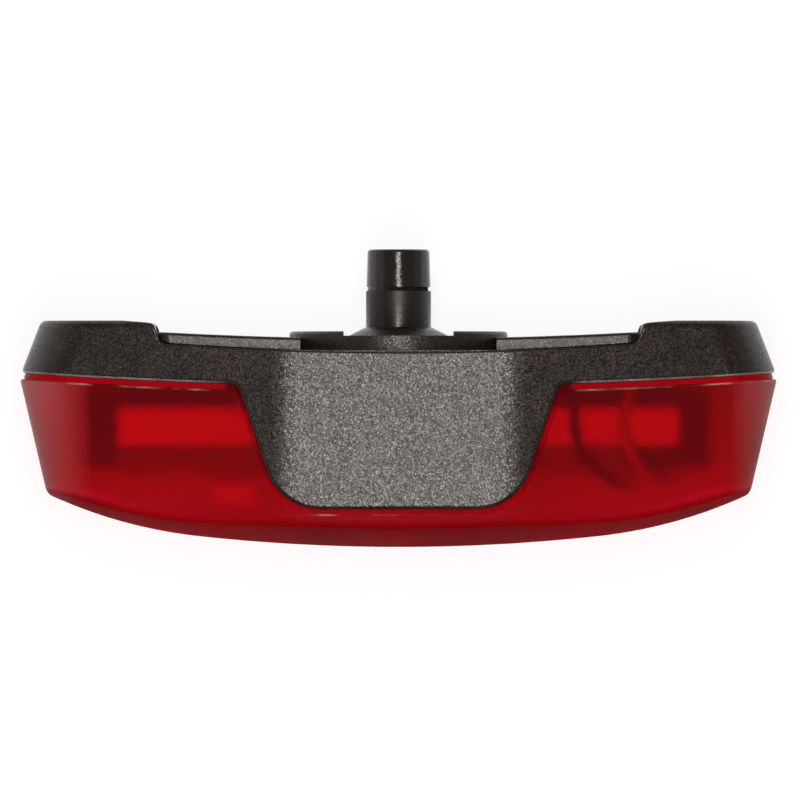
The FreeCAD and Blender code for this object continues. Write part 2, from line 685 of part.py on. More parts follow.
def make_battery_door():
    base = DOOR_BACK_Y - DOOR_THICK
    top = DOOR_BACK_Y + DOOR_GRIP
    disc = round_bar(DOOR_R, base, top)
    rim = edges_near(disc, lambda e, m: abs(m.y - top) < 0.01 and e.Length > DOOR_R)
    disc = disc.makeFillet(DOOR_EDGE_R, rim)
    channel = slab(-DOOR_CHANNEL_HALF, DOOR_CHANNEL_HALF, DOOR_BACK_Y, FAR, -TALL, TALL)
    disc = disc.cut(channel)
    lug_y = CELL_BACK_Y + LOOSE
    boss = round_bar(DOOR_BOSS_R, lug_y, base)
    ring_y = ring_place_y()
    gland = round_bar(FAR, ring_y - RING_CORD_R - FIT, ring_y + RING_CORD_R + FIT)
    gland = gland.cut(round_bar(RING_R - RING_CORD_R - FIT, -FAR, FAR))
    boss = boss.cut(gland)
    door = disc.fuse([boss, peg_form()])
    for turn in (0.0, 180.0):
        ear = lug(LUG_R, LUG_HALF_DEG, lug_y, lug_y + LUG_THICK)
        ear = ear.cut(round_bar(DOOR_BOSS_R - LUG_ROOT, -FAR, FAR))
        ear.rotate(V(0, 0, 0), V(0, 1, 0), turn)
        door = door.fuse(ear)
    return door.removeSplitter()


def ring_place_y():
    """Middle of the seal ring, inside the plate's hole."""
    return (PLATE_FLOOR_Y + DOOR_BACK_Y - DOOR_THICK) / 2


def make_door_ring():
    return Part.makeTorus(RING_R, RING_CORD_R, V(0, ring_place_y(), 0), V(0, 1, 0))


def make_coin_cell():
    front = CELL_BACK_Y - CELL_THICK
    can = round_bar(CELL_R, front + CELL_STEP, CELL_BACK_Y)
    rim = edges_near(can, lambda e, m: abs(m.y - CELL_BACK_Y) < 0.01 and e.Length > CELL_R)
    can = can.makeFillet(CELL_EDGE_R, rim)
    return can.fuse(round_bar(CELL_R - CELL_STEP_IN, front, front + CELL_THICK / 2)).removeSplitter()


def cup_floor_y():
    """Floor that the negative strip and the cell lie on."""
    return CELL_BACK_Y - CELL_THICK - 2 * STRIP - FIT


def post_x():
    return BOARD_HALF - POST_IN


def make_carrier():
    outer = body_form(CARRIER_INSET)
    outer = outer.common(slab(-CARRIER_HALF, CARRIER_HALF, CARRIER_FRONT_Y, CARRIER_BACK_Y, -TALL, TALL))
    room = body_form(CARRIER_INSET + CARRIER_WALL)
    inner_half = CARRIER_HALF - CARRIER_WALL
    inner_back = CARRIER_BACK_Y - CARRIER_FLOOR
    room = room.common(slab(-inner_half, inner_half, -FAR, inner_back, -TALL, TALL))
    carrier = outer.cut(room)
    floor_y = cup_floor_y()
    pocket_r = CELL_R + CELL_GAP
    carrier = carrier.fuse(round_bar(pocket_r + CUP_WALL, floor_y - CUP_FLOOR, CUP_BACK_Y))
    for side in (-1, 1):
        carrier = carrier.fuse(round_bar(POST_R, CARRIER_FRONT_Y, inner_back, side * post_x()))
        carrier = carrier.cut(round_bar(BOARD_SCREW_R + FIT, -FAR, inner_back, side * post_x()))
    carrier = carrier.cut(round_bar(pocket_r, floor_y, 0.0))
    half = STRIP_WIDE / 2 + FIT
    for z in (STRIP_Z, -STRIP_Z):
        channel = slab(CELL_R - CHANNEL_IN, STRIP_END_X + FIT, floor_y, 0.0, z - half, z + half)
        carrier = carrier.cut(channel)
    hole = Part.makeCylinder(BUTTON_STEM_R + STEM_ROOM, TALL, V(0, BUTTON_Y, -TALL))
    return carrier.cut(hole).removeSplitter()


def make_white_bar():
    top = body_form(CARRIER_INSET - FIT - BAR_THICK)
    bar = top.cut(body_form(CARRIER_INSET - FIT))
    bar = bar.common(slab(-BAR_HALF, BAR_HALF, BAR_FRONT_Y, BAR_BACK_Y, 0.0, TALL))
    cup_r = CELL_R + CELL_GAP + CUP_WALL
    return bar.cut(round_bar(cup_r + LOOSE, cup_floor_y() - CUP_FLOOR - LOOSE, 0.0))


def board_front_y():
    return CARRIER_FRONT_Y - BOARD_THICK


def make_circuit_board():
    board = body_form(BOARD_INSET)
    board = board.common(slab(-BOARD_HALF, BOARD_HALF, board_front_y(), CARRIER_FRONT_Y, -TALL, TALL))
    for side in (-1, 1):
        board = board.cut(round_bar(BOARD_SCREW_R + FIT, -FAR, FAR, side * post_x()))
    return board


def led_body(x, z):
    """Square white package with a round dome that faces the front."""
    base_y = board_front_y()
    half = LED_WIDE / 2
    base = slab(x - half, x + half, base_y - LED_BASE, base_y, z - LED_NARROW / 2, z + LED_NARROW / 2)
    stem_y = base_y - LED_TALL + LED_DOME_R
    stem = round_bar(LED_STEM_R, stem_y, base_y - LED_BASE, x, z)
    dome = Part.makeSphere(LED_DOME_R, V(x, stem_y, z))
    dome = dome.cut(slab(x - half, x + half, stem_y, base_y + half, z - half, z + half))
    return base.fuse([stem, dome]).removeSplitter()


def make_chip():
    half = CHIP_SIDE / 2
    y = CARRIER_FRONT_Y
    return slab(CHIP_X - half, CHIP_X + half, y, y + CHIP_THICK, -half, half)


def make_capacitor():
    return round_bar(CAP_R, CARRIER_FRONT_Y, CARRIER_FRONT_Y + CAP_TALL, CAP_X)


def make_resistors():
    wide, thick, tall = RESISTOR
    y = board_front_y()
    pieces = []
    for i in range(RESISTOR_COUNT):
        x = RESISTOR_X + i * RESISTOR_PITCH
        pieces.append(slab(x, x + wide, y - thick, y, RESISTOR_Z, RESISTOR_Z + tall))
    return Part.makeCompound(pieces)


def switch_face_z():
    return SWITCH_IN - HALF_HEIGHT


def make_switch_body():
    y = CARRIER_FRONT_Y
    low = switch_face_z()
    body = slab(-SWITCH_HALF, SWITCH_HALF, y, y + SWITCH_DEEP, low, low + SWITCH_TALL)
    well_top = PLUNGER_IN + BUTTON_TRAVEL + LOOSE
    well = Part.makeCylinder(PLUNGER_R + FIT, well_top, V(0, BUTTON_Y, low))
    return body.cut(well)


def make_plunger():
    low = switch_face_z() - PLUNGER_OUT
    return Part.makeCylinder(PLUNGER_R, PLUNGER_OUT + PLUNGER_IN, V(0, BUTTON_Y, low))


def make_button():
    wall_in = -(HALF_HEIGHT - BROW_WALL)
    top = stadium(BUTTON_HALF, BUTTON_R, -HALF_HEIGHT - BUTTON_PROUD, wall_in + FIT)
    crown = edges_near(top, lambda e, m: abs(m.z + HALF_HEIGHT + BUTTON_PROUD) < 0.01)
    top = top.makeFillet(BUTTON_EDGE_R, crown)
    flange_low = wall_in + FIT
    flange = stadium(BUTTON_HALF + BUTTON_FLANGE, BUTTON_R + BUTTON_FLANGE,
                     flange_low, flange_low + BUTTON_FLANGE_THICK)
    stem_top = switch_face_z() - PLUNGER_OUT - FIT
    stem_low = flange_low + BUTTON_FLANGE_THICK / 2
    stem = Part.makeCylinder(BUTTON_STEM_R, stem_top - stem_low, V(0, BUTTON_Y, stem_low))
    return top.fuse([flange, stem]).removeSplitter()


def screw(radius, head_r, head, length, place, away):
    """Pan head screw: the head's seat is at place, and it is driven along away."""
    shank = Part.makeCylinder(radius, length, place, away)
    cap = Part.makeCylinder(head_r, head, place, away * -1)
    top = place - away * head
    rim = edges_near(cap, lambda e, m: abs((m - top).dot(away)) < 0.01 and e.Length > head_r)
    cap = cap.makeFillet(head * HEAD_ROUND, rim)
    depth = head * CROSS_DEPTH
    reach = head_r * CROSS_REACH
    for wide, tall in ((CROSS, reach), (reach, CROSS)):
        y0 = min(top.y, top.y + away.y * depth)
        recess = slab(top.x - wide / 2, top.x + wide / 2, y0, y0 + depth,
                      top.z - tall / 2, top.z + tall / 2)
        cap = cap.cut(recess)
    return shank.fuse(cap).removeSplitter()


def make_cover_screws():
    seat = screw_seat_y()
    length = seat - BOSS_BOTTOM_Y - BOSS_FLOOR - SCREW_SHORT
    screws = [screw(SCREW_R, SCREW_HEAD_R, SCREW_HEAD, length, V(x, seat, z), V(0, -1, 0))
              for x, z in screw_places()]
    return Part.makeCompound(screws)


def make_board_screws():
    seat = board_front_y()
    screws = [screw(BOARD_SCREW_R, BOARD_SCREW_HEAD_R, BOARD_SCREW_HEAD, BOARD_SCREW_LONG,
                    V(s * post_x(), seat, 0), V(0, 1, 0)) for s in (-1, 1)]
    return Part.makeCompound(screws)


def contact_tab(z, front):
    """Upright end of a contact strip, in the carrier's channel."""
    return slab(STRIP_END_X - STRIP, STRIP_END_X, front, CARRIER_BACK_Y + TAB_OUT,
                z - STRIP_WIDE / 2, z + STRIP_WIDE / 2)


def make_contact_negative():
    floor_y = cup_floor_y()
    low = STRIP_Z - STRIP_WIDE / 2
    high = STRIP_Z + STRIP_WIDE / 2
    strip = slab(TIP_X, STRIP_END_X, floor_y, floor_y + STRIP, low, high)
    tip = slab(TIP_X, TIP_X + TIP_LONG, floor_y, CELL_BACK_Y - CELL_THICK, low, high)
    return strip.fuse([tip, contact_tab(STRIP_Z, floor_y)]).removeSplitter()


def make_contact_positive():
    low = -STRIP_Z - STRIP_WIDE / 2
    high = -STRIP_Z + STRIP_WIDE / 2
    rest_x = math.sqrt(CELL_R ** 2 - high ** 2) + LEAF_GAP
    front = CELL_BACK_Y - CELL_THICK + LEAF_FRONT
    leaf = slab(rest_x, rest_x + STRIP, front, CELL_BACK_Y - LEAF_BACK, low, high)
    bridge = slab(rest_x, STRIP_END_X, front, front + STRIP, low, high)
    return leaf.fuse([bridge, contact_tab(-STRIP_Z, front)]).removeSplitter()


def wire_tube(points):
    """Round wire on straight runs joined by tangent arcs."""
    radii = []
    for a, b, c in zip(points, points[1:], points[2:]):
        turn = tangent(a, b).getAngle(tangent(b, c))
        shorter = min((b - a).Length, (c - b).Length)
        radii.append(WIRE_BEND * shorter / math.tan(turn / 2))
    edges = rounded_edges(points, radii)
    path = Part.Wire(edges)
    disc = Part.Wire(Part.makeCircle(WIRE_R, points[0], tangent(points[0], points[1])))
    tube = path.makePipeShell([disc], True, False)
    ideal = math.pi * WIRE_R ** 2 * path.Length
    print("wire length %.1f mm, least bend %.2f mm, volume share %.4f"
          % (path.Length, min(radii), tube.Volume / ideal))
    return tube


def over_bar(x, y):
    """Place of a wire's axis where it lies on the white bar."""
    return V(x, y, slope_z(x, CARRIER_INSET - BAR_THICK - WIRE_R - WIRE_CLEAR))


def past_tongue(x, y):
    """Place of a wire's axis under the lens tongue."""
    return V(x, y, slope_z(x, TONGUE_PASS))


def from_top(x, y, drop):
    """Place of a wire's axis, measured down from the top."""
    return V(x, y, slope_z(x, 0.0) - drop)


def make_wire_black():
    start_x = STRIP_END_X + WIRE_R + FIT
    end_y = board_front_y() - WIRE_R - FIT
    return wire_tube([
        V(start_x, CARRIER_BACK_Y + WIRE_R + LOOSE, STRIP_Z), from_top(14.4, -5.3, 6.4),
        past_tongue(16.7, -6.4), over_bar(17.3, -8.6), over_bar(17.3, -10.4), from_top(18.2, -13.0, 3.25),
        from_top(20.4, -15.2, 3.25), from_top(22.3, end_y - 0.2, 4.1), from_top(23.0, end_y, 5.95)])


def make_wire_red():
    start_x = STRIP_END_X + WIRE_R + FIT
    end_y = board_front_y() - WIRE_R - FIT
    return wire_tube([
        V(start_x, CARRIER_BACK_Y + WIRE_R + LOOSE, -STRIP_Z), V(15.6, -5.3, -1.8), V(20.2, -5.2, 1.6),
        V(23.2, -5.1, 5.2), from_top(23.3, -5.3, 4.5), past_tongue(22.8, -6.8), over_bar(22.0, -8.8),
        over_bar(22.4, -11.3), from_top(23.6, -14.0, 3.0), from_top(25.6, end_y, 3.75),
        from_top(26.9, end_y, 5.6)])


def export(name, shape):
    """One file per piece, with its solids counted and its body tested."""
    solids = len(shape.Solids)
    print("%-18s solids %d valid %s volume %.2f" % (name, solids, shape.isValid(), shape.Volume))
    shape.exportStep("parts/%s.step" % name)


def main():
    os.makedirs("parts", exist_ok=True)
    export("housing", make_housing())
    export("back_plate", make_back_plate())
    export("lens", make_lens())
    export("lens_gasket", make_gasket())
    export("battery_door", make_battery_door())
    export("door_o_ring", make_door_ring())
    export("coin_cell", make_coin_cell())
    export("inner_carrier", make_carrier())
    export("reflector_bar", make_white_bar())
    export("circuit_board", make_circuit_board())
    export("led_left", led_body(-LED_X, LED_Z))
    export("led_centre", led_body(0.0, 0.0))
    export("led_right", led_body(LED_X, -LED_Z))
    export("controller_chip", make_chip())
    export("capacitor", make_capacitor())
    export("resistors", make_resistors())
    export("switch_body", make_switch_body())
    export("switch_plunger", make_plunger())
    export("button_cap", make_button())
    export("cover_screws", make_cover_screws())
    export("board_screws", make_board_screws())
    export("contact_negative", make_contact_negative())
    export("contact_positive", make_contact_positive())
    export("wire_black", make_wire_black())
    export("wire_red", make_wire_red())


main()
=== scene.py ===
"""Helmet light: finishes, small details and stage for the rear light that plugs into a helmet."""
import math

import bmesh
import bpy
from bpy.props import FloatProperty, FloatVectorProperty, PointerProperty
from mathutils import Matrix, Vector


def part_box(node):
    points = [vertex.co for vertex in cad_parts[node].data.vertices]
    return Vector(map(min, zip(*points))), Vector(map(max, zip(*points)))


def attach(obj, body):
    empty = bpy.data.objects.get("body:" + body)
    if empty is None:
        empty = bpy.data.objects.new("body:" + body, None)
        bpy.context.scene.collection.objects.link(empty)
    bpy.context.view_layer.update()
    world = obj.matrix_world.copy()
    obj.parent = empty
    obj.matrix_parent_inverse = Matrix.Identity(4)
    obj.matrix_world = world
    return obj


bl_info = {
    "name": "Helmet light",
    "version": (1, 0, 0),
    "blender": (4, 5, 0),
    "location": "3D view > Sidebar > Helmet light",
    "description": "Finishes, small details and stage of a rear light for a helmet",
    "category": "Object",
}

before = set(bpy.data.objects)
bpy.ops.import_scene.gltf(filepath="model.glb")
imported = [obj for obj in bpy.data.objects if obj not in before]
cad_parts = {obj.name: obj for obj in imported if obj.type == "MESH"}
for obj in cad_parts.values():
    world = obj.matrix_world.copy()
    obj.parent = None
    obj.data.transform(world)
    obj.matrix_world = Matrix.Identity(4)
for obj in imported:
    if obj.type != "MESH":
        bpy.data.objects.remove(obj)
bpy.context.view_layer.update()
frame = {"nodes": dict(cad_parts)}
NODES = frame["nodes"]
MM = 0.001
WHITE = (1.0, 1.0, 1.0)
NODE_STEP = 180

# Arcs that the masks follow, in metres: y = low + x * x / (2 * bend).
JOINT_LOW = -5.97 * MM
LENS_EDGE_LOW = -6.52 * MM
JOINT_BEND = 542.0 * MM
SEAM_LOW = -2.45 * MM
SEAM_BEND = 320.0 * MM

# Limits of the masks, in millimetres. A mask is 0 at the first number and 1 at the second. With
# four numbers, it stays 1 up to the third and is 0 again at the fourth.
# Painted shade in the seam above the brow:
SEAM_DEPTH = (-0.2, -0.12)  # from the seam's arc
SEAM_SIDES = (24.0, 23.0)  # from the middle
# Painted highlight along the housing's front edge:
HIGHLIGHT_BAND = (0.03, 0.09, 0.2, 0.28)  # behind the joint's arc
HIGHLIGHT_SIDES = (17.0, 19.0)  # from the middle
DISC_REAR = (-0.2, -0.5)  # Y
PEG_FOOT = (0.2, 2.6)  # Y
PEG_HEAD = (3.7, 3.8)  # Y
# Painted shade in the slit round the peg:
SLIT_DEPTH = (3.21, 3.15)  # from the peg's axis
SLIT_BAND = (3.56, 3.6, 4.0, 4.04)  # Y
SLIT_SIDE = (-1.5, -0.9)  # X
# Paler red painted at the lens's ends as sheen:
SHEEN_ENDS = (31.0, 37.5)  # from the middle
MILKY_LEFT = (-30.5, -37.3)  # X
MILKY_RIGHT = (33.0, 37.6)  # X
# Painted highlight on the lens's thin outer edges:
RIM_REAR = (-0.02, 0.05, 0.16, 0.26)  # in front of the lens's rear arc
RIM_FRONT = (-18.56, -18.62, -18.74, -18.82)  # Y
RIM_FRONT_SIDES = (9.5, 7.5)  # from the middle
# Brighter red painted on the collar, standing in for light through the lens's edge:
COLLAR_BAND = (0.0, -0.06, -0.5, -0.62)  # in front of the lens's rear arc
COLLAR_SIDES = (16.7, 17.7)  # from the middle
# Pale patch painted on the carrier in front of the bar, standing in for light there:
PAINTED_LIGHT_FRONT = (-11.9, -12.3)  # Y
PAINTED_LIGHT_SIDES = (-28.0, -27.6, 21.8, 22.4)  # X
PAINTED_LIGHT_TOP = (0.0, 1.0)  # Z

# Roughness of the dullest facets and of the shiniest ones.
HOUSING_ROUGH = (0.52, 0.14)
PLATE_ROUGH = (0.42, 0.26)
DISC_ROUGH = (0.5, 0.2)
PEG_HEAD_ROUGH = (0.18, 0.1)

# Roughness of the lower peg at the two limits of PEG_FOOT.
PEG_FOOT_ROUGH = (0.24, 0.4)

# Lens: roughness of a face where a ray enters and where it leaves, and its refraction.
FROST_IN = 0.45
FROST_OUT = 0.85
LENS_IOR = 1.49

# How far the back plate's facets lean, as a share of the housing's.
PLATE_GRAIN = 0.55

# Small details, in metres. A frame stands FRAME_RISE farther out than its lamp and ends
# FRAME_BACK behind the lamp's front. A wire's lowest point is looked for in its last WIRE_END.
WELD = 0.002 * MM
RIB_PITCH = 1.3 * MM
RIB_HALF = 1.9 * MM
RIB_RADIUS = 0.3 * MM
STRIP_X = 23.05 * MM
STRIP_Y = -1.52 * MM
STRIP_SIZE = (2.3 * MM, 0.36 * MM, 16.0 * MM)
STRIP_CORNER = 0.08 * MM
FRAME_WIDE = 4.7 * MM
FRAME_TALL = 4.9 * MM
FRAME_CORNER = 0.5 * MM
FRAME_RISE = 0.5 * MM
FRAME_BACK = 0.3 * MM
SOLDER_RADIUS = 0.8 * MM
SOLDER_HEIGHT = 0.55 * MM
SOLDER_INSET = 0.6 * MM
WIRE_END = 1.5 * MM

# Stage, in metres. Each lamp has its name, place, the point it looks at and its two widths.
FLOOR_SIZE = 2.0
FLOOR_GAP = 0.3 * MM
PICTURE_CENTRE = (0.15 * MM, -7.3 * MM)
LAMPS = (
    ("overhead", (0.0, -0.01, 0.5), (0.0, -0.01, 0.0), (0.1, 0.34)),
    ("left", (-0.45, 0.0, 0.14), (-0.03, -0.01, 0.0), (0.5, 0.3)),
    ("right", (0.45, 0.02, 0.14), (0.03, -0.01, 0.0), (0.4, 0.2)),
)
SKY_FADE = (0.1, 0.6)
SKY_LIGHT = (0.24, 0.06)


def colour(name, text, value):
    return FloatVectorProperty(name=name, description=text, default=value, size=3, min=0.0,
                               max=1.0, subtype="COLOR")


def length(name, text, value):
    return FloatProperty(name=name, description=text, default=value, min=0.0, unit="LENGTH")


def share(name, text, value):
    return FloatProperty(name=name, description=text, default=value, min=0.0, max=1.0,
                         subtype="FACTOR")


def power(name, text, value):
    return FloatProperty(name=name, description=text, default=value, min=0.0, unit="POWER")


class HelmetLightColours(bpy.types.PropertyGroup):
    """Colours of the finishes, and of the highlights, sheen and shade painted on them."""
    shell: colour("Shell", "Grained black plastic of the housing", (0.015, 0.0105, 0.009))
    edge_highlight: colour("Painted edge highlight", "Highlight painted on the grain along the housing's front edge", (0.62, 0.58, 0.55))
    seam: colour("Seam", "Shade painted in the seam above the brow", (0.003, 0.003, 0.003))
    dust: colour("Dust", "Dust on the shell", (0.16, 0.145, 0.13))
    door: colour("Door", "Smooth black plastic of the door and peg", (0.026, 0.0195, 0.0175))
    scratch: colour("Scratch", "Hair scratches on the door and peg", (0.12, 0.11, 0.105))
    slit: colour("Slit shade", "Shade painted in the slit round the peg", (0.004, 0.003, 0.003))
    lens: colour("Lens", "Red of the frosted plastic", (0.66, 0.075, 0.105))
    lens_end_sheen: colour("Lens end sheen", "Paler red painted at the ends as sheen", (0.85, 0.27, 0.26))
    lens_dust: colour("Lens dust", "Dust on the lens", (0.6, 0.3, 0.28))
    lens_rim_highlight: colour("Lens rim", "Highlight painted on the lens's thin outer edges", (0.9, 0.55, 0.5))
    lens_body: colour("Lens body", "Tint of one face of the lens", (0.91, 0.02, 0.26))
    lens_light: colour("Lens light", "What one face of the lens lets through", (1.0, 0.03, 0.26))
    collar: colour("Lit collar", "Brighter red painted next to the housing, as light through the lens's edge", (0.75, 0.0, 0.01))
    rubber: colour("Rubber", "Button and seals", (0.024, 0.023, 0.023))
    rubber_dust: colour("Rubber dust", "Dust on the rubber", (0.16, 0.15, 0.145))
    bar: colour("Bar", "White bar on the carrier", (0.95, 0.93, 0.89))
    board: colour("Board", "Lacquer of the circuit board", (0.34, 0.33, 0.3))
    resin: colour("Resin", "Milky resin of the lamps", (0.88, 0.85, 0.76))
    resin_cloud: colour("Resin clouds", "Yellower clouds in the resin", (0.8, 0.77, 0.66))
    inner: colour("Carrier", "Plain black plastic inside", (0.016, 0.014, 0.013))
    painted_light: colour("Painted light", "Pale film in front of the bar", (0.2, 0.19, 0.18))
    can: colour("Can", "Aluminium can of the capacitor", (0.78, 0.78, 0.79))
    steel: colour("Steel", "Screws and cell", (0.62, 0.61, 0.59))
    brass: colour("Contacts", "Plated strips", (0.86, 0.68, 0.36))
    red_wire: colour("Red wire", "Skin of the red wire", (0.55, 0.02, 0.02))
    floor: colour("Floor", "Pale floor", (0.29, 0.29, 0.29))
    floor_cloud: colour("Floor clouds", "Darker clouds on the floor", (0.27, 0.27, 0.27))


class HelmetLightSizes(bpy.types.PropertyGroup):
    """Sizes of the textures and the small details."""
    grain: length("Grain", "Width of one grain of the shell's texture", 0.11 * MM)
    grain_tip: share("Grain tip", "How far the facets of the texture lean", 0.17)
    grain_depth: length("Grain depth", "Depth of the lumps between the facets", 0.003 * MM)
    frame: length("Lamp frame", "Wall of the white frames round the lamps", 0.22 * MM)
    rib: length("Rib", "Height of the raised ribs on the button", 0.25 * MM)


class HelmetLightStage(bpy.types.PropertyGroup):
    """Camera, lamps and floor."""
    view: length("View", "Width of the picture at the light", 80 * MM)
    camera: length("Camera", "Height of the camera", 1.5)
    lamp: power("Lamp", "Power of the lamp overhead", 1.4)
    warm: colour("Warm", "Colour of the lamp overhead", (1.0, 0.95, 0.905))
    side: power("Side", "Power of the lamp at the left", 0.18)
    far_side: power("Far side", "Power of the lamp at the right", 0.04)
    glow: share("Glow", "How much of the floor's white is kept in the shadow", 0.86)


def settings():
    scene = bpy.context.scene
    return scene.helmet_colours, scene.helmet_sizes, scene.helmet_stage


def rgba(value, gain=1.0):
    """Colour of three numbers as a socket takes it, brighter or darker by a gain."""
    return (*(channel * gain for channel in value), 1.0)


class Nodes:
    """Short calls to build a node tree. Values are plain or the outputs of other nodes."""

    def __init__(self, tree):
        self.tree = tree
        self.x = 0

    def add(self, kind, values=None, **options):
        """New node with its options, and values for its inputs by name or number."""
        node = self.tree.nodes.new(kind)
        node.location = (self.x, 0)
        self.x += NODE_STEP
        for name, option in options.items():
            setattr(node, name, option)
        for name, value in (values or {}).items():
            if isinstance(value, bpy.types.NodeSocket):
                self.tree.links.new(value, node.inputs[name])
            elif value is not None:
                node.inputs[name].default_value = value
        return node

    def place(self):
        return self.add("ShaderNodeTexCoord").outputs["Object"]

    def geometry(self, output):
        return self.add("ShaderNodeNewGeometry").outputs[output]

    def axes(self, vector):
        node = self.add("ShaderNodeSeparateXYZ", {0: vector})
        return [node.outputs[axis] for axis in "XYZ"]

    def math(self, operation, a, b=None, clamp=False):
        node = self.add("ShaderNodeMath", {0: a, 1: b}, operation=operation, use_clamp=clamp)
        return node.outputs[0]

    def product(self, first, *others):
        for other in others:
            first = self.math("MULTIPLY", first, other)
        return first

    def vector(self, operation, a, b=None):
        return self.add("ShaderNodeVectorMath", {0: a, 1: b}, operation=operation).outputs[0]

    def mix(self, factor, a, b):
        values = {"Factor": factor, "A": a, "B": b}
        return self.add("ShaderNodeMix", values, data_type="RGBA").outputs["Result"]

    def tint(self, base, mask, amount, tinted):
        """Base with another colour laid over it, by an amount where the mask is 1."""
        return self.mix(self.product(mask, amount), base, tinted)

    def mix_shader(self, factor, a, b):
        return self.add("ShaderNodeMixShader", {0: factor, 1: a, 2: b}).outputs[0]

    def ramp(self, value, low, high, out_low=0.0, out_high=1.0):
        values = {"Value": value, "From Min": low, "From Max": high,
                  "To Min": out_low, "To Max": out_high}
        return self.add("ShaderNodeMapRange", values).outputs[0]

    def ramp_mm(self, value, low, high, out_low=0.0, out_high=1.0):
        """Ramp over a length, with its limits in millimetres."""
        return self.ramp(value, low * MM, high * MM, out_low, out_high)

    def band_mm(self, value, start, full, fade, end):
        """Mask of a stretch of a length, with its limits in millimetres."""
        return self.product(self.ramp_mm(value, start, full), self.ramp_mm(value, end, fade))

    def between(self, mask, at_none, at_full):
        return self.ramp(mask, 0.0, 1.0, at_none, at_full)

    def arc(self, x, low, bend):
        """Y of the arc low + x * x / (2 * bend)."""
        return self.math("ADD", self.product(x, x, 1.0 / (2.0 * bend)), low)

    def noise(self, vector, scale, detail=2.0, rough=0.5):
        values = {"Vector": vector, "Scale": scale, "Detail": detail, "Roughness": rough}
        return self.add("ShaderNodeTexNoise", values).outputs["Fac"]

    def patches(self, scale, low, high, least):
        """Uneven mask between a least value and 1."""
        return self.ramp(self.noise(self.place(), scale, 3.0, 0.6), low, high, least)

    def cells(self, vector, scale, output):
        return self.add("ShaderNodeTexVoronoi", {"Vector": vector, "Scale": scale}).outputs[output]

    def mapping(self, vector, **values):
        """Vector turned or stretched: Rotation and Scale, each with three numbers."""
        return self.add("ShaderNodeMapping", {"Vector": vector, **values}).outputs["Vector"]

    def bump(self, height, distance, normal=None):
        values = {"Height": height, "Distance": distance, "Normal": normal}
        return self.add("ShaderNodeBump", values).outputs["Normal"]

    def group(self, tree, values):
        return self.add("ShaderNodeGroup", values, node_tree=tree).outputs

    def principled(self, base, rough, normal=None, others=None):
        values = {"Base Color": base, "Roughness": rough, "Normal": normal, **(others or {})}
        return self.add("ShaderNodeBsdfPrincipled", values).outputs[0]

    def surface(self, shader):
        self.add("ShaderNodeOutputMaterial", {"Surface": shader})


def shared_group(name, inputs, outputs, build):
    """Shader group of this name. build fills it the first time it is asked for."""
    tree = bpy.data.node_groups.get(name)
    if tree is None:
        tree = bpy.data.node_groups.new(name, "ShaderNodeTree")
        for label, value in inputs.items():
            socket = tree.interface.new_socket(name=label, in_out="INPUT",
                                               socket_type="NodeSocketFloat")
            socket.default_value = value
        for label, kind in outputs.items():
            tree.interface.new_socket(name=label, in_out="OUTPUT", socket_type=kind)
        n = Nodes(tree)
        n.add("NodeGroupOutput", build(n, n.add("NodeGroupInput").outputs))
    return tree


def build_grain(n, given):
    """Facets tip the normal and differ in glint and gloss, with fine lumps over them."""
    place = n.place()
    scale = n.math("DIVIDE", 1.0, given["Size"])
    facet = n.cells(place, scale, "Color")
    centred = n.vector("SUBTRACT", facet, (0.5, 0.5, 0.5))
    tipped = n.add("ShaderNodeVectorMath", {0: centred, "Scale": given["Tip"]}, operation="SCALE")
    leaning = n.vector("ADD", n.geometry("Normal"), tipped.outputs[0])
    lumps = n.noise(place, n.product(scale, 1.6), 1.0)
    _, gloss, glint = n.add("ShaderNodeSeparateColor", {0: facet}).outputs
    return {"Normal": n.bump(lumps, given["Depth"], n.vector("NORMALIZE", leaning)),
            "Glint": n.math("POWER", glint, 4.0), "Gloss": gloss}


def grain_group():
    """Spark-eroded mould texture."""
    return shared_group("Moulded grain", {"Size": 0.2 * MM, "Tip": 0.2, "Depth": 0.0},
                        {"Normal": "NodeSocketVector", "Glint": "NodeSocketFloat",
                         "Gloss": "NodeSocketFloat"}, build_grain)


def build_wear(n, given):
    """Masks of broad smudges, fine dust and sparse hair scratches."""
    place, scale = n.place(), given["Scale"]
    smudge = n.ramp(n.noise(place, scale, 3.0, 0.55), 0.38, 0.66)
    specks = n.ramp(n.cells(place, n.product(scale, 14.0), "Distance"), 0.10, 0.03)
    dusty = n.ramp(n.noise(place, n.product(scale, 2.2), 1.0, 0.4), 0.52, 0.62)
    along = n.mapping(place, Rotation=(0.5, 0.9, 0.7), Scale=(1.0, 40.0, 40.0))
    lines = n.noise(along, n.product(scale, 0.6), 1.0)
    scratch = n.product(n.ramp(lines, 0.70, 0.74), n.ramp(smudge, 0.3, 0.9))
    return {"Smudge": smudge, "Dust": n.product(specks, dusty), "Scratch": scratch}


def wear_group():
    """Light handling marks."""
    masks = dict.fromkeys(("Smudge", "Dust", "Scratch"), "NodeSocketFloat")
    return shared_group("Handling marks", {"Scale": 120.0}, masks, build_wear)


def new_material(name):
    """Material with an empty tree, and the builder of that tree."""
    material = bpy.data.materials.new(name)
    material.use_nodes = True
    material.node_tree.nodes.clear()
    return material, Nodes(material.node_tree)


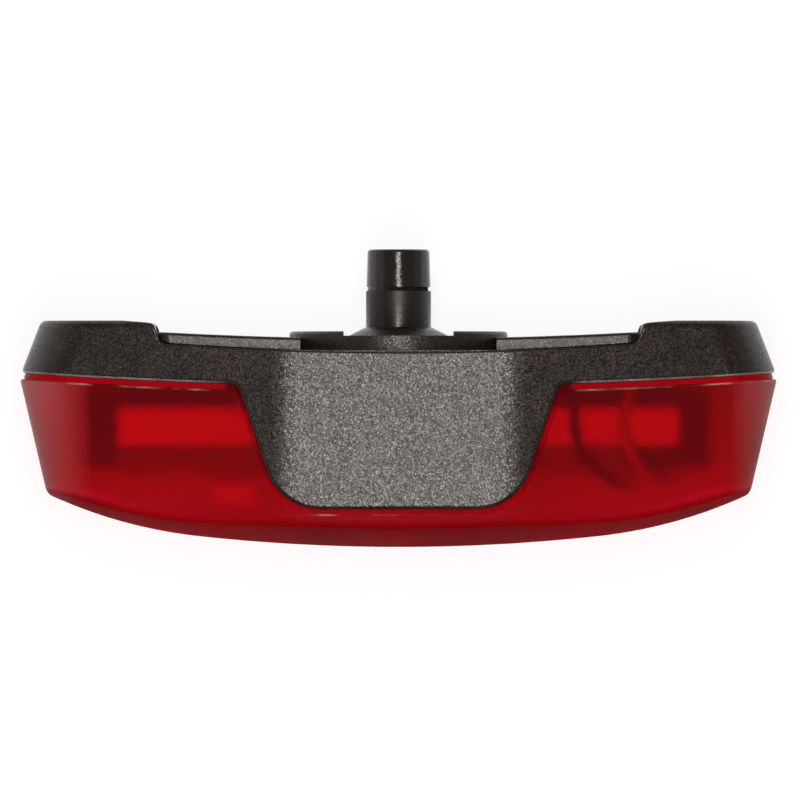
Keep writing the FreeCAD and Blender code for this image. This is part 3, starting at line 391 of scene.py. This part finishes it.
def shell_material(name, tip, dull, shiny, seam):
    """Warm black plastic with a spark-eroded grain that glints where it faces a lamp."""
    colours, sizes, _ = settings()
    material, n = new_material(name)
    grain = n.group(grain_group(), {"Size": sizes.grain, "Tip": tip, "Depth": sizes.grain_depth})
    marks = n.group(wear_group(), {"Scale": 95.0})
    glint = n.product(grain["Glint"], n.patches(260.0, 0.4, 0.62, 0.3))
    base = n.tint(rgba(colours.shell), marks["Smudge"], 0.35, rgba(colours.shell, 1.3))
    # Painted glints: random facets get a much lighter base colour.
    base = n.mix(glint, base, rgba(colours.shell, 7.0))
    base = n.tint(base, marks["Dust"], 0.2, rgba(colours.dust))
    # Painted highlight: the grain along the housing's front edge is made bright.
    base = n.tint(base, painted_edge_highlight(n), n.ramp(glint, 0.0, 0.6, 0.5), rgba(colours.edge_highlight))
    rough = n.between(grain["Gloss"], dull, shiny)
    if seam:
        # Painted shade: the seam above the brow is made dark and dull.
        painted_shade = painted_seam_shade(n)
        base = n.mix(painted_shade, base, rgba(colours.seam))
        rough = n.math("MAXIMUM", rough, painted_shade)
    n.surface(n.principled(base, rough, grain["Normal"], {"Specular IOR Level": 0.5}))
    return material


def painted_seam_shade(n):
    """Mask of the shade painted on the edge and the ledge in the seam above the brow, where no
    light reaches.
    """
    x, y, _ = n.axes(n.place())
    off = n.math("SUBTRACT", y, n.arc(x, SEAM_LOW, SEAM_BEND))
    beside = n.ramp_mm(n.math("ABSOLUTE", x), *SEAM_SIDES)
    return n.product(n.ramp_mm(off, *SEAM_DEPTH), beside)


def painted_edge_highlight(n):
    """Mask of the highlight painted on the housing's front edge beside the brow."""
    x, y, _ = n.axes(n.place())
    off = n.math("SUBTRACT", y, n.arc(x, JOINT_LOW, JOINT_BEND))
    beside = n.ramp_mm(n.math("ABSOLUTE", x), *HIGHLIGHT_SIDES)
    return n.product(n.band_mm(off, *HIGHLIGHT_BAND), beside, n.patches(420.0, 0.32, 0.6, 0.35))


def door_material():
    """Smoother black plastic of the door and peg: grained on the disc, nearly plain on the peg."""
    colours, sizes, _ = settings()
    material, n = new_material("Smooth black plastic")
    x, y, z = n.axes(n.place())
    disc = n.ramp_mm(y, *DISC_REAR)
    marks = n.group(wear_group(), {"Scale": 160.0})
    grain = n.group(grain_group(), {"Size": sizes.grain, "Tip": n.between(disc, 0.09, 0.19),
                                    "Depth": 0.002 * MM})
    base = n.tint(rgba(colours.door), marks["Smudge"], 0.4, rgba(colours.door, 1.5))
    # Painted glints on the disc: random facets get a lighter base colour.
    base = n.tint(base, n.product(grain["Glint"], disc), 0.6, rgba(colours.door, 4.0))
    base = n.tint(base, marks["Scratch"], 0.3, rgba(colours.scratch))
    # Painted shade: the slit round the peg is made dark.
    painted_shade = painted_slit_shade(n, x, y, z)
    base = n.mix(painted_shade, base, rgba(colours.slit))
    foot = n.ramp_mm(y, *PEG_FOOT, *PEG_FOOT_ROUGH)
    peg = n.mix(n.ramp_mm(y, *PEG_HEAD), foot, n.between(grain["Gloss"], *PEG_HEAD_ROUGH))
    rough = n.mix(disc, peg, n.between(grain["Gloss"], *DISC_ROUGH))
    rough = n.math("MAXIMUM", rough, n.product(painted_shade, 0.9))
    n.surface(n.principled(base, rough, grain["Normal"], {"Specular IOR Level": 0.42}))
    return material


def painted_slit_shade(n, x, y, z):
    """Mask of the shade painted in the slit round the peg. It fades out at the left."""
    radius = n.math("SQRT", n.math("ADD", n.product(x, x), n.product(z, z)))
    deep = n.ramp_mm(radius, *SLIT_DEPTH)
    return n.product(deep, n.band_mm(y, *SLIT_BAND), n.ramp_mm(x, *SLIT_SIDE))


def lens_material():
    """Frosted red plastic that lets light in tinted.

    What is behind it shows bent and scattered, and milky places show a skin instead. Shadow and
    diffuse rays pass straight through, so that the lamps reach what is inside."""
    colours, _, _ = settings()
    material, n = new_material("Frosted red plastic")
    place = n.place()
    x, _, _ = n.axes(place)
    marks = n.group(wear_group(), {"Scale": 70.0})
    rim_highlight, collar = lens_edges(n)
    cloud = n.ramp(n.noise(place, 90.0), 0.35, 0.7)
    base = n.mix(cloud, rgba(colours.lens), rgba(colours.lens, 0.85))
    # Painted sheen: the lens's ends are made paler red.
    pale = n.ramp_mm(n.math("ABSOLUTE", x), *SHEEN_ENDS, 0.0, 0.8)
    base = n.mix(pale, base, rgba(colours.lens_end_sheen))
    base = n.tint(base, marks["Dust"], 0.12, rgba(colours.lens_dust))
    # Painted highlight along the lens's thin outer edges.
    base = n.tint(base, rim_highlight, 0.8, rgba(colours.lens_rim_highlight))
    # Painted light: the collar is made brighter red.
    base = n.mix(collar, base, rgba(colours.collar))
    satin = n.bump(n.noise(place, 9000.0), 0.004 * MM)
    skin = n.principled(base, n.between(marks["Smudge"], 0.3, 0.38), satin,
                        {"IOR": LENS_IOR, "Specular IOR Level": 0.15})
    faces = [n.add(kind, {"Color": rgba(colours.lens_body), "IOR": LENS_IOR, "Roughness": rough,
                          "Normal": satin}).outputs[0]
             for kind, rough in (("ShaderNodeBsdfRefraction", FROST_IN),
                                 ("ShaderNodeBsdfGlass", FROST_OUT))]
    frost = n.mix_shader(n.geometry("Backfacing"), *faces)
    milky = n.math("MAXIMUM", milkiness(n), n.product(rim_highlight, 0.65))
    milky = n.math("MAXIMUM", milky, n.product(collar, 0.5))
    body = n.mix_shader(milky, frost, skin)
    clear = n.add("ShaderNodeBsdfTransparent", {"Color": rgba(colours.lens_light)}).outputs[0]
    path = n.add("ShaderNodeLightPath").outputs
    passing = n.math("MAXIMUM", path["Is Shadow Ray"], path["Is Diffuse Ray"])
    n.surface(n.mix_shader(passing, body, clear))
    return material


def milkiness(n):
    """How milky the red plastic is: most at the ends, where its wall is seen along, and a trace
    on the faces that look forward."""
    x, _, _ = n.axes(n.place())
    left = n.ramp_mm(x, *MILKY_LEFT, 0.07, 0.74)
    right = n.ramp_mm(x, *MILKY_RIGHT, 0.07, 0.7)
    _, facing, _ = n.axes(n.geometry("Normal"))
    forward = n.math("ABSOLUTE", facing)
    ends = n.product(n.math("MAXIMUM", left, right), n.ramp(forward, 0.3, 0.75, 1.0, 0.3))
    return n.math("MAXIMUM", ends, n.ramp(forward, 0.5, 0.9, 0.0, 0.07))


def lens_edges(n):
    """Masks of the highlight painted on the lens's thin outer edges, along the housing and in
    front of the brow, and of the brighter red painted on the collar between the rear edge and the
    housing."""
    x, y, _ = n.axes(n.place())
    wide = n.math("ABSOLUTE", x)
    off = n.math("SUBTRACT", n.arc(x, LENS_EDGE_LOW, JOINT_BEND), y)
    beside = n.ramp_mm(wide, *COLLAR_SIDES)
    rear = n.product(n.band_mm(off, *RIM_REAR), beside)
    front = n.product(n.band_mm(y, *RIM_FRONT), n.ramp_mm(wide, *RIM_FRONT_SIDES))
    rim_highlight = n.product(n.math("MAXIMUM", rear, front), n.patches(300.0, 0.4, 0.62, 0.1))
    return rim_highlight, n.product(n.band_mm(off, *COLLAR_BAND), beside)


def rubber_material():
    """Dull silicone rubber with a trace of dust."""
    colours, sizes, _ = settings()
    material, n = new_material("Black rubber")
    grain = n.group(grain_group(), {"Size": sizes.grain * 0.8, "Tip": 0.12,
                                    "Depth": sizes.grain_depth})
    marks = n.group(wear_group(), {"Scale": 140.0})
    base = n.tint(rgba(colours.rubber), marks["Dust"], 0.5, rgba(colours.rubber_dust))
    base = n.tint(base, marks["Smudge"], 0.3, rgba(colours.rubber, 1.6))
    rough = n.between(marks["Smudge"], 0.62, 0.5)
    n.surface(n.principled(base, rough, grain["Normal"], {"Specular IOR Level": 0.4}))
    return material


def fine_grain(n):
    """Normal of the fine grain on plain mouldings."""
    return n.group(grain_group(), {"Size": 0.15 * MM, "Tip": 0.08, "Depth": 0.004 * MM})["Normal"]


def plain_plastic(name, value, rough_low, rough_high):
    """Moulded plastic of one colour, with flow clouds and a fine grain."""
    material, n = new_material(name)
    cloud = n.noise(n.place(), 130.0, 3.0, 0.55)
    base = n.mix(n.ramp(cloud, 0.35, 0.7), rgba(value), rgba(value, 0.84))
    n.surface(n.principled(base, n.ramp(cloud, 0.3, 0.7, rough_low, rough_high), fine_grain(n)))
    return material


def carrier_material():
    """Black plastic, with a pale satin patch painted in front of the white bar, standing in for
    light there.
    """
    colours, _, _ = settings()
    material, n = new_material("Carrier plastic with film")
    place = n.place()
    x, y, z = n.axes(place)
    # Painted light: a pale patch in front of the bar.
    painted_light = n.product(n.ramp_mm(y, *PAINTED_LIGHT_FRONT), n.band_mm(x, *PAINTED_LIGHT_SIDES),
                     n.ramp_mm(z, *PAINTED_LIGHT_TOP))
    cloud = n.ramp(n.noise(place, 130.0), 0.35, 0.7)
    base = n.mix(cloud, rgba(colours.inner), rgba(colours.inner, 0.7))
    base = n.mix(painted_light, base, rgba(colours.painted_light))
    n.surface(n.principled(base, n.between(painted_light, 0.55, 0.3), fine_grain(n)))
    return material


def board_material():
    """Pale lacquered board with tracks that stand slightly proud."""
    colours, _, _ = settings()
    material, n = new_material("Circuit board")
    place = n.place()
    upright = n.mapping(place, Rotation=(math.pi / 2, 0.0, 0.0))
    tracks = n.add("ShaderNodeTexBrick", {
        "Vector": upright, "Scale": 1.0, "Mortar Size": 0.16 * MM, "Mortar Smooth": 0.2,
        "Brick Width": 5.2 * MM, "Row Height": 2.1 * MM}).outputs["Fac"]
    speck = n.noise(place, 2500.0, 2.0, 0.6)
    base = n.mix(tracks, rgba(colours.board), rgba(colours.board, 0.78))
    base = n.mix(n.ramp(speck, 0.55, 0.75, 0.0, 0.2), base, rgba(colours.board, 0.6))
    rough = n.ramp(speck, 0.3, 0.7, 0.3, 0.42)
    n.surface(n.principled(base, rough, n.bump(tracks, 0.02 * MM)))
    return material


def lamp_material():
    """Lamp package: milky resin with yellower clouds under a thin clear coat."""
    colours, _, _ = settings()
    material, n = new_material("Lamp package")
    cloud = n.noise(n.place(), 1800.0)
    base = n.mix(n.ramp(cloud, 0.35, 0.7), rgba(colours.resin), rgba(colours.resin_cloud))
    n.surface(n.principled(base, n.ramp(cloud, 0.3, 0.7, 0.14, 0.24), None,
                           {"Coat Weight": 0.5, "Coat Roughness": 0.05}))
    return material


def metal_material(name, value, rough_low, rough_high, scale):
    """Metal with rolled or turned streaks and faint tarnish."""
    material, n = new_material(name)
    place = n.place()
    streaks = n.noise(n.mapping(place, Scale=(1.0, 12.0, 1.0)), scale, 2.0, 0.6)
    tarnish = n.ramp(n.noise(place, 260.0, 3.0, 0.6), 0.4, 0.7, 0.0, 0.5)
    base = n.mix(tarnish, rgba(value), rgba(value, 0.72))
    rough = n.ramp(streaks, 0.3, 0.7, rough_low, rough_high)
    n.surface(n.principled(base, rough, n.bump(streaks, 0.002 * MM), {"Metallic": 1.0}))
    return material


def wire_material(name, value):
    """Skin of a wire, with slight waves from the strands inside."""
    material, n = new_material(name)
    wave = n.noise(n.place(), 700.0)
    base = n.mix(n.ramp(wave, 0.35, 0.7), rgba(value), rgba(value, 0.7))
    n.surface(n.principled(base, n.ramp(wave, 0.3, 0.7, 0.32, 0.45), n.bump(wave, 0.02 * MM)))
    return material


def dress(material, *names):
    """Puts one material on CAD pieces, in every slot."""
    for name in names:
        data = NODES[name].data
        data.materials.clear()
        data.materials.append(material)


def object_from(bm, name, material):
    """Object in the scene made from a bmesh, in the part's own frame."""
    mesh = bpy.data.meshes.new(name)
    bm.to_mesh(mesh)
    bm.free()
    mesh.materials.append(material)
    made = bpy.data.objects.new(name, mesh)
    bpy.context.scene.collection.objects.link(made)
    return made


def piece_from(bm, name, body, material, smooth=True):
    """Finished piece from a bmesh, on a body of the part."""
    bmesh.ops.remove_doubles(bm, verts=bm.verts, dist=WELD)
    bmesh.ops.recalc_face_normals(bm, faces=bm.faces)
    piece = object_from(bm, name, material)
    for face in piece.data.polygons:
        face.use_smooth = smooth
    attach(piece, body)


def add_dome(bm, centre, radius, height):
    """Ball flattened to a height along Y. Centred on a face, it stands out as a dome."""
    turn = Vector((0.0, 0.0, 1.0)).rotation_difference(Vector((0.0, -1.0, 0.0)))
    made = bmesh.ops.create_uvsphere(bm, u_segments=24, v_segments=12, radius=radius)
    matrix = (Matrix.Translation(centre) @ turn.to_matrix().to_4x4()
              @ Matrix.Diagonal((1.0, 1.0, height / radius, 1.0)))
    bmesh.ops.transform(bm, matrix=matrix, verts=made["verts"])


def add_box(bm, centre, size):
    """Box of a size round a centre. Returns its corners."""
    made = bmesh.ops.create_cube(bm, size=1.0)
    bmesh.ops.scale(bm, vec=size, verts=made["verts"])
    bmesh.ops.translate(bm, vec=centre, verts=made["verts"])
    return made["verts"]


def round_edges(bm, edges, radius, segments):
    bmesh.ops.bevel(bm, geom=edges, offset=radius, segments=segments, profile=0.5,
                    affect="EDGES", material=-1)


def add_frame(bm, centre, size, wall):
    """Square tube along Y with rounded corners, open at both ends, in an empty bmesh."""
    add_box(bm, centre, size)
    along = [e for e in bm.edges if abs(e.verts[0].co.y - e.verts[1].co.y) > 0.5 * size[1]]
    round_edges(bm, along, FRAME_CORNER, 4)
    ends = [f for f in bm.faces if abs(f.normal.y) > 0.9]
    bmesh.ops.delete(bm, geom=ends, context="FACES_ONLY")
    bmesh.ops.solidify(bm, geom=bm.faces, thickness=wall)


def add_strip(bm, centre, size, corner):
    """Straight strip with rounded edges."""
    edges = dict.fromkeys(e for v in add_box(bm, centre, size) for e in v.link_edges)
    round_edges(bm, list(edges), corner, 2)


def add_rib(bm, centre, height):
    """Rounded rib along X that stands out of a face that looks down."""
    made = bmesh.ops.create_uvsphere(bm, u_segments=32, v_segments=16, radius=RIB_RADIUS)
    bmesh.ops.scale(bm, vec=(1.0, 1.0, height / RIB_RADIUS), verts=made["verts"])
    for side in (-1, 1):
        ends = [v for v in made["verts"] if v.co.x * side > 0.01 * RIB_RADIUS]
        bmesh.ops.translate(bm, vec=(side * RIB_HALF, 0.0, 0.0), verts=ends)
    bmesh.ops.translate(bm, vec=centre, verts=made["verts"])


class HELMETLIGHT_OT_shell(bpy.types.Operator):
    """Grained black finish of the housing and the back plate, with a highlight and a shade painted
    on the housing
    """
    bl_idname = "helmetlight.shell"
    bl_label = "Housing and back plate"

    def execute(self, context):
        tip = settings()[1].grain_tip
        dress(shell_material("Grained black plastic", tip, *HOUSING_ROUGH, True), "housing")
        dress(shell_material("Fine black plastic", tip * PLATE_GRAIN, *PLATE_ROUGH, False),
              "back_plate")
        return {"FINISHED"}


class HELMETLIGHT_OT_lens(bpy.types.Operator):
    """Frosted red lens"""
    bl_idname = "helmetlight.lens"
    bl_label = "Lens"

    def execute(self, context):
        dress(lens_material(), "lens")
        return {"FINISHED"}


class HELMETLIGHT_OT_door(bpy.types.Operator):
    """Battery door with its peg"""
    bl_idname = "helmetlight.door"
    bl_label = "Battery door"

    def execute(self, context):
        dress(door_material(), "battery_door")
        return {"FINISHED"}


class HELMETLIGHT_OT_rubber(bpy.types.Operator):
    """Button with its raised ribs, and the seals"""
    bl_idname = "helmetlight.rubber"
    bl_label = "Button and seals"

    def execute(self, context):
        _, sizes, _ = settings()
        rubber = rubber_material()
        dress(rubber, "button_cap", "lens_gasket", "door_o_ring")
        low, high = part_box("button_cap")
        middle = Vector(((low.x + high.x) / 2, (low.y + high.y) / 2, low.z))
        bm = bmesh.new()
        for row in (-1, 0, 1):
            add_rib(bm, middle + Vector((0.0, row * RIB_PITCH, 0.0)), sizes.rib)
        piece_from(bm, "button_ribs", "button", rubber)
        bm = bmesh.new()
        for side in (-1, 1):
            add_strip(bm, (side * STRIP_X, STRIP_Y, 0.0), STRIP_SIZE, STRIP_CORNER)
        piece_from(bm, "plate_end_seals", "housing", rubber, smooth=False)
        return {"FINISHED"}


class HELMETLIGHT_OT_inside(bpy.types.Operator):
    """Carrier, white bar, board and what they carry"""
    bl_idname = "helmetlight.inside"
    bl_label = "Inside"

    def execute(self, context):
        colours, _, _ = settings()
        dress(carrier_material(), "inner_carrier")
        dress(plain_plastic("Inner black plastic", colours.inner, 0.45, 0.6),
              "switch_body", "controller_chip", "resistors")
        dress(plain_plastic("White plastic", colours.bar, 0.4, 0.55),
              "reflector_bar", "switch_plunger")
        dress(board_material(), "circuit_board")
        dress(lamp_material(), "led_left", "led_centre", "led_right")
        dress(metal_material("Can aluminium", colours.can, 0.22, 0.38, 900.0), "capacitor")
        dress(metal_material("Bright steel", colours.steel, 0.2, 0.4, 1500.0),
              "coin_cell", "cover_screws", "board_screws")
        dress(metal_material("Plated strip", colours.brass, 0.2, 0.35, 1200.0),
              "contact_negative", "contact_positive")
        return {"FINISHED"}


class HELMETLIGHT_OT_lamp_frames(bpy.types.Operator):
    """White frames that stand on the board round the three lamps"""
    bl_idname = "helmetlight.lamp_frames"
    bl_label = "Lamp frames"

    def execute(self, context):
        _, sizes, _ = settings()
        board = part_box("circuit_board")[0].y
        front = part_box("led_left")[0].y + FRAME_BACK
        bm = bmesh.new()
        for name in ("led_left", "led_centre", "led_right"):
            low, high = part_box(name)
            lamp = (low + high) / 2
            rise = math.copysign(FRAME_RISE, lamp.z) if abs(lamp.z) > MM else 0.0
            one = bmesh.new()
            add_frame(one, (lamp.x, (board + front) / 2, lamp.z + rise),
                      (FRAME_WIDE, board - front, FRAME_TALL), sizes.frame)
            part = bpy.data.meshes.new("lamp_frame_part")
            one.to_mesh(part)
            one.free()
            bm.from_mesh(part)
            bpy.data.meshes.remove(part)
        white = bpy.data.materials["White plastic"]
        piece_from(bm, "lamp_frames", "housing", white)
        return {"FINISHED"}


class HELMETLIGHT_OT_wires(bpy.types.Operator):
    """The two wires, with their solder joints on the board"""
    bl_idname = "helmetlight.wires"
    bl_label = "Wires"

    def execute(self, context):
        colours, _, _ = settings()
        dress(wire_material("Red wire skin", colours.red_wire), "wire_red")
        dress(wire_material("Black wire skin", colours.rubber), "wire_black")
        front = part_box("circuit_board")[0].y
        bm = bmesh.new()
        for name in ("wire_black", "wire_red"):
            _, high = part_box(name)
            points = [v.co for v in NODES[name].data.vertices]
            bottom = min(p.z for p in points if p.y < front and p.x > high.x - WIRE_END)
            add_dome(bm, Vector((high.x - SOLDER_INSET, front, bottom)), SOLDER_RADIUS,
                     SOLDER_HEIGHT)
        steel = bpy.data.materials["Bright steel"]
        piece_from(bm, "solder_joints", "housing", steel)
        return {"FINISHED"}


def floor_material(glow):
    """Pale floor that shows white, yet keeps the light's shadow; from below it is clear."""
    colours, _, _ = settings()
    material, n = new_material("Pale floor")
    base = n.mix(n.noise(n.place(), 6.0), rgba(colours.floor), rgba(colours.floor_cloud))
    path = n.add("ShaderNodeLightPath").outputs
    seen = n.math("ADD", path["Is Camera Ray"], path["Is Glossy Ray"])
    seen = n.math("ADD", seen, path["Is Transmission Ray"], clamp=True)
    top = n.principled(base, 0.7, None, {
        "Specular IOR Level": 0.1, "Emission Color": rgba(WHITE),
        "Emission Strength": n.product(seen, glow)})
    clear = n.add("ShaderNodeBsdfTransparent").outputs[0]
    n.surface(n.mix_shader(n.geometry("Backfacing"), top, clear))
    return material


def make_world():
    """White to the camera; for the light itself, bright near the horizon and dim overhead."""
    world = bpy.data.worlds.new("Studio")
    bpy.context.scene.world = world
    world.use_nodes = True
    world.node_tree.nodes.clear()
    n = Nodes(world.node_tree)
    _, _, height = n.axes(n.add("ShaderNodeTexCoord").outputs["Generated"])
    level = n.ramp(height, *SKY_FADE, *SKY_LIGHT)
    seen = n.add("ShaderNodeLightPath").outputs["Is Camera Ray"]
    back = n.add("ShaderNodeBackground", {"Color": rgba(WHITE),
                                          "Strength": n.math("MAXIMUM", level, seen)})
    n.add("ShaderNodeOutputWorld", {"Surface": back.outputs[0]})


def add_lamp(name, place, aim, size, strength, tint):
    """Rectangular soft lamp that looks at a point."""
    data = bpy.data.lights.new(name, "AREA")
    data.shape = "RECTANGLE"
    data.size, data.size_y = size
    data.energy = strength
    data.color = tint
    lamp = bpy.data.objects.new(name, data)
    lamp.location = place
    lamp.rotation_euler = (Vector(aim) - Vector(place)).to_track_quat("-Z", "Y").to_euler()
    lamp.visible_camera = False
    bpy.context.scene.collection.objects.link(lamp)


class HELMETLIGHT_OT_stage(bpy.types.Operator):
    """Floor, lamps and the camera straight above"""
    bl_idname = "helmetlight.stage"
    bl_label = "Stage"

    def execute(self, context):
        _, _, stage = settings()
        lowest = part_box("button_cap")[0].z
        bm = bmesh.new()
        bmesh.ops.create_grid(bm, x_segments=1, y_segments=1, size=FLOOR_SIZE)
        bmesh.ops.translate(bm, vec=(0.0, 0.0, lowest - FLOOR_GAP), verts=bm.verts)
        floor = object_from(bm, "floor", floor_material(stage.glow))
        make_world()
        looks = ((stage.lamp, stage.warm), (stage.side, WHITE), (stage.far_side, WHITE))
        for lamp, look in zip(LAMPS, looks):
            add_lamp(*lamp, *look)
        data = bpy.data.cameras.new("camera")
        data.lens = data.sensor_width * stage.camera / stage.view
        data.dof.use_dof = False
        camera = bpy.data.objects.new("camera", data)
        camera.location = (*PICTURE_CENTRE, stage.camera)
        context.scene.collection.objects.link(camera)
        context.scene.camera = camera
        context.scene.view_settings.view_transform = "Standard"
        return {"FINISHED"}


class HELMETLIGHT_PT_panel(bpy.types.Panel):
    """Steps that finish the light, in order"""
    bl_idname = "HELMETLIGHT_PT_panel"
    bl_label = "Helmet light"
    bl_space_type = "VIEW_3D"
    bl_region_type = "UI"
    bl_category = "Helmet light"

    def draw(self, context):
        for operator in OPERATORS:
            self.layout.operator(operator.bl_idname)
        for group in settings():
            box = self.layout.box()
            for name in group.__annotations__:
                box.prop(group, name)


OPERATORS = (HELMETLIGHT_OT_stage, HELMETLIGHT_OT_shell, HELMETLIGHT_OT_lens,
             HELMETLIGHT_OT_door, HELMETLIGHT_OT_rubber, HELMETLIGHT_OT_inside,
             HELMETLIGHT_OT_lamp_frames, HELMETLIGHT_OT_wires)
GROUPS = (("helmet_colours", HelmetLightColours), ("helmet_sizes", HelmetLightSizes),
          ("helmet_stage", HelmetLightStage))


def register():
    for name, group in GROUPS:
        bpy.utils.register_class(group)
        setattr(bpy.types.Scene, name, PointerProperty(type=group))
    for operator in OPERATORS:
        bpy.utils.register_class(operator)
    bpy.utils.register_class(HELMETLIGHT_PT_panel)


def unregister():
    bpy.utils.unregister_class(HELMETLIGHT_PT_panel)
    for operator in reversed(OPERATORS):
        bpy.utils.unregister_class(operator)
    for name, group in reversed(GROUPS):
        delattr(bpy.types.Scene, name)
        bpy.utils.unregister_class(group)


def main():
    register()
    for operator in OPERATORS:
        group, name = operator.bl_idname.split(".")
        getattr(getattr(bpy.ops, group), name)()


if __name__ == "__main__":
    main()
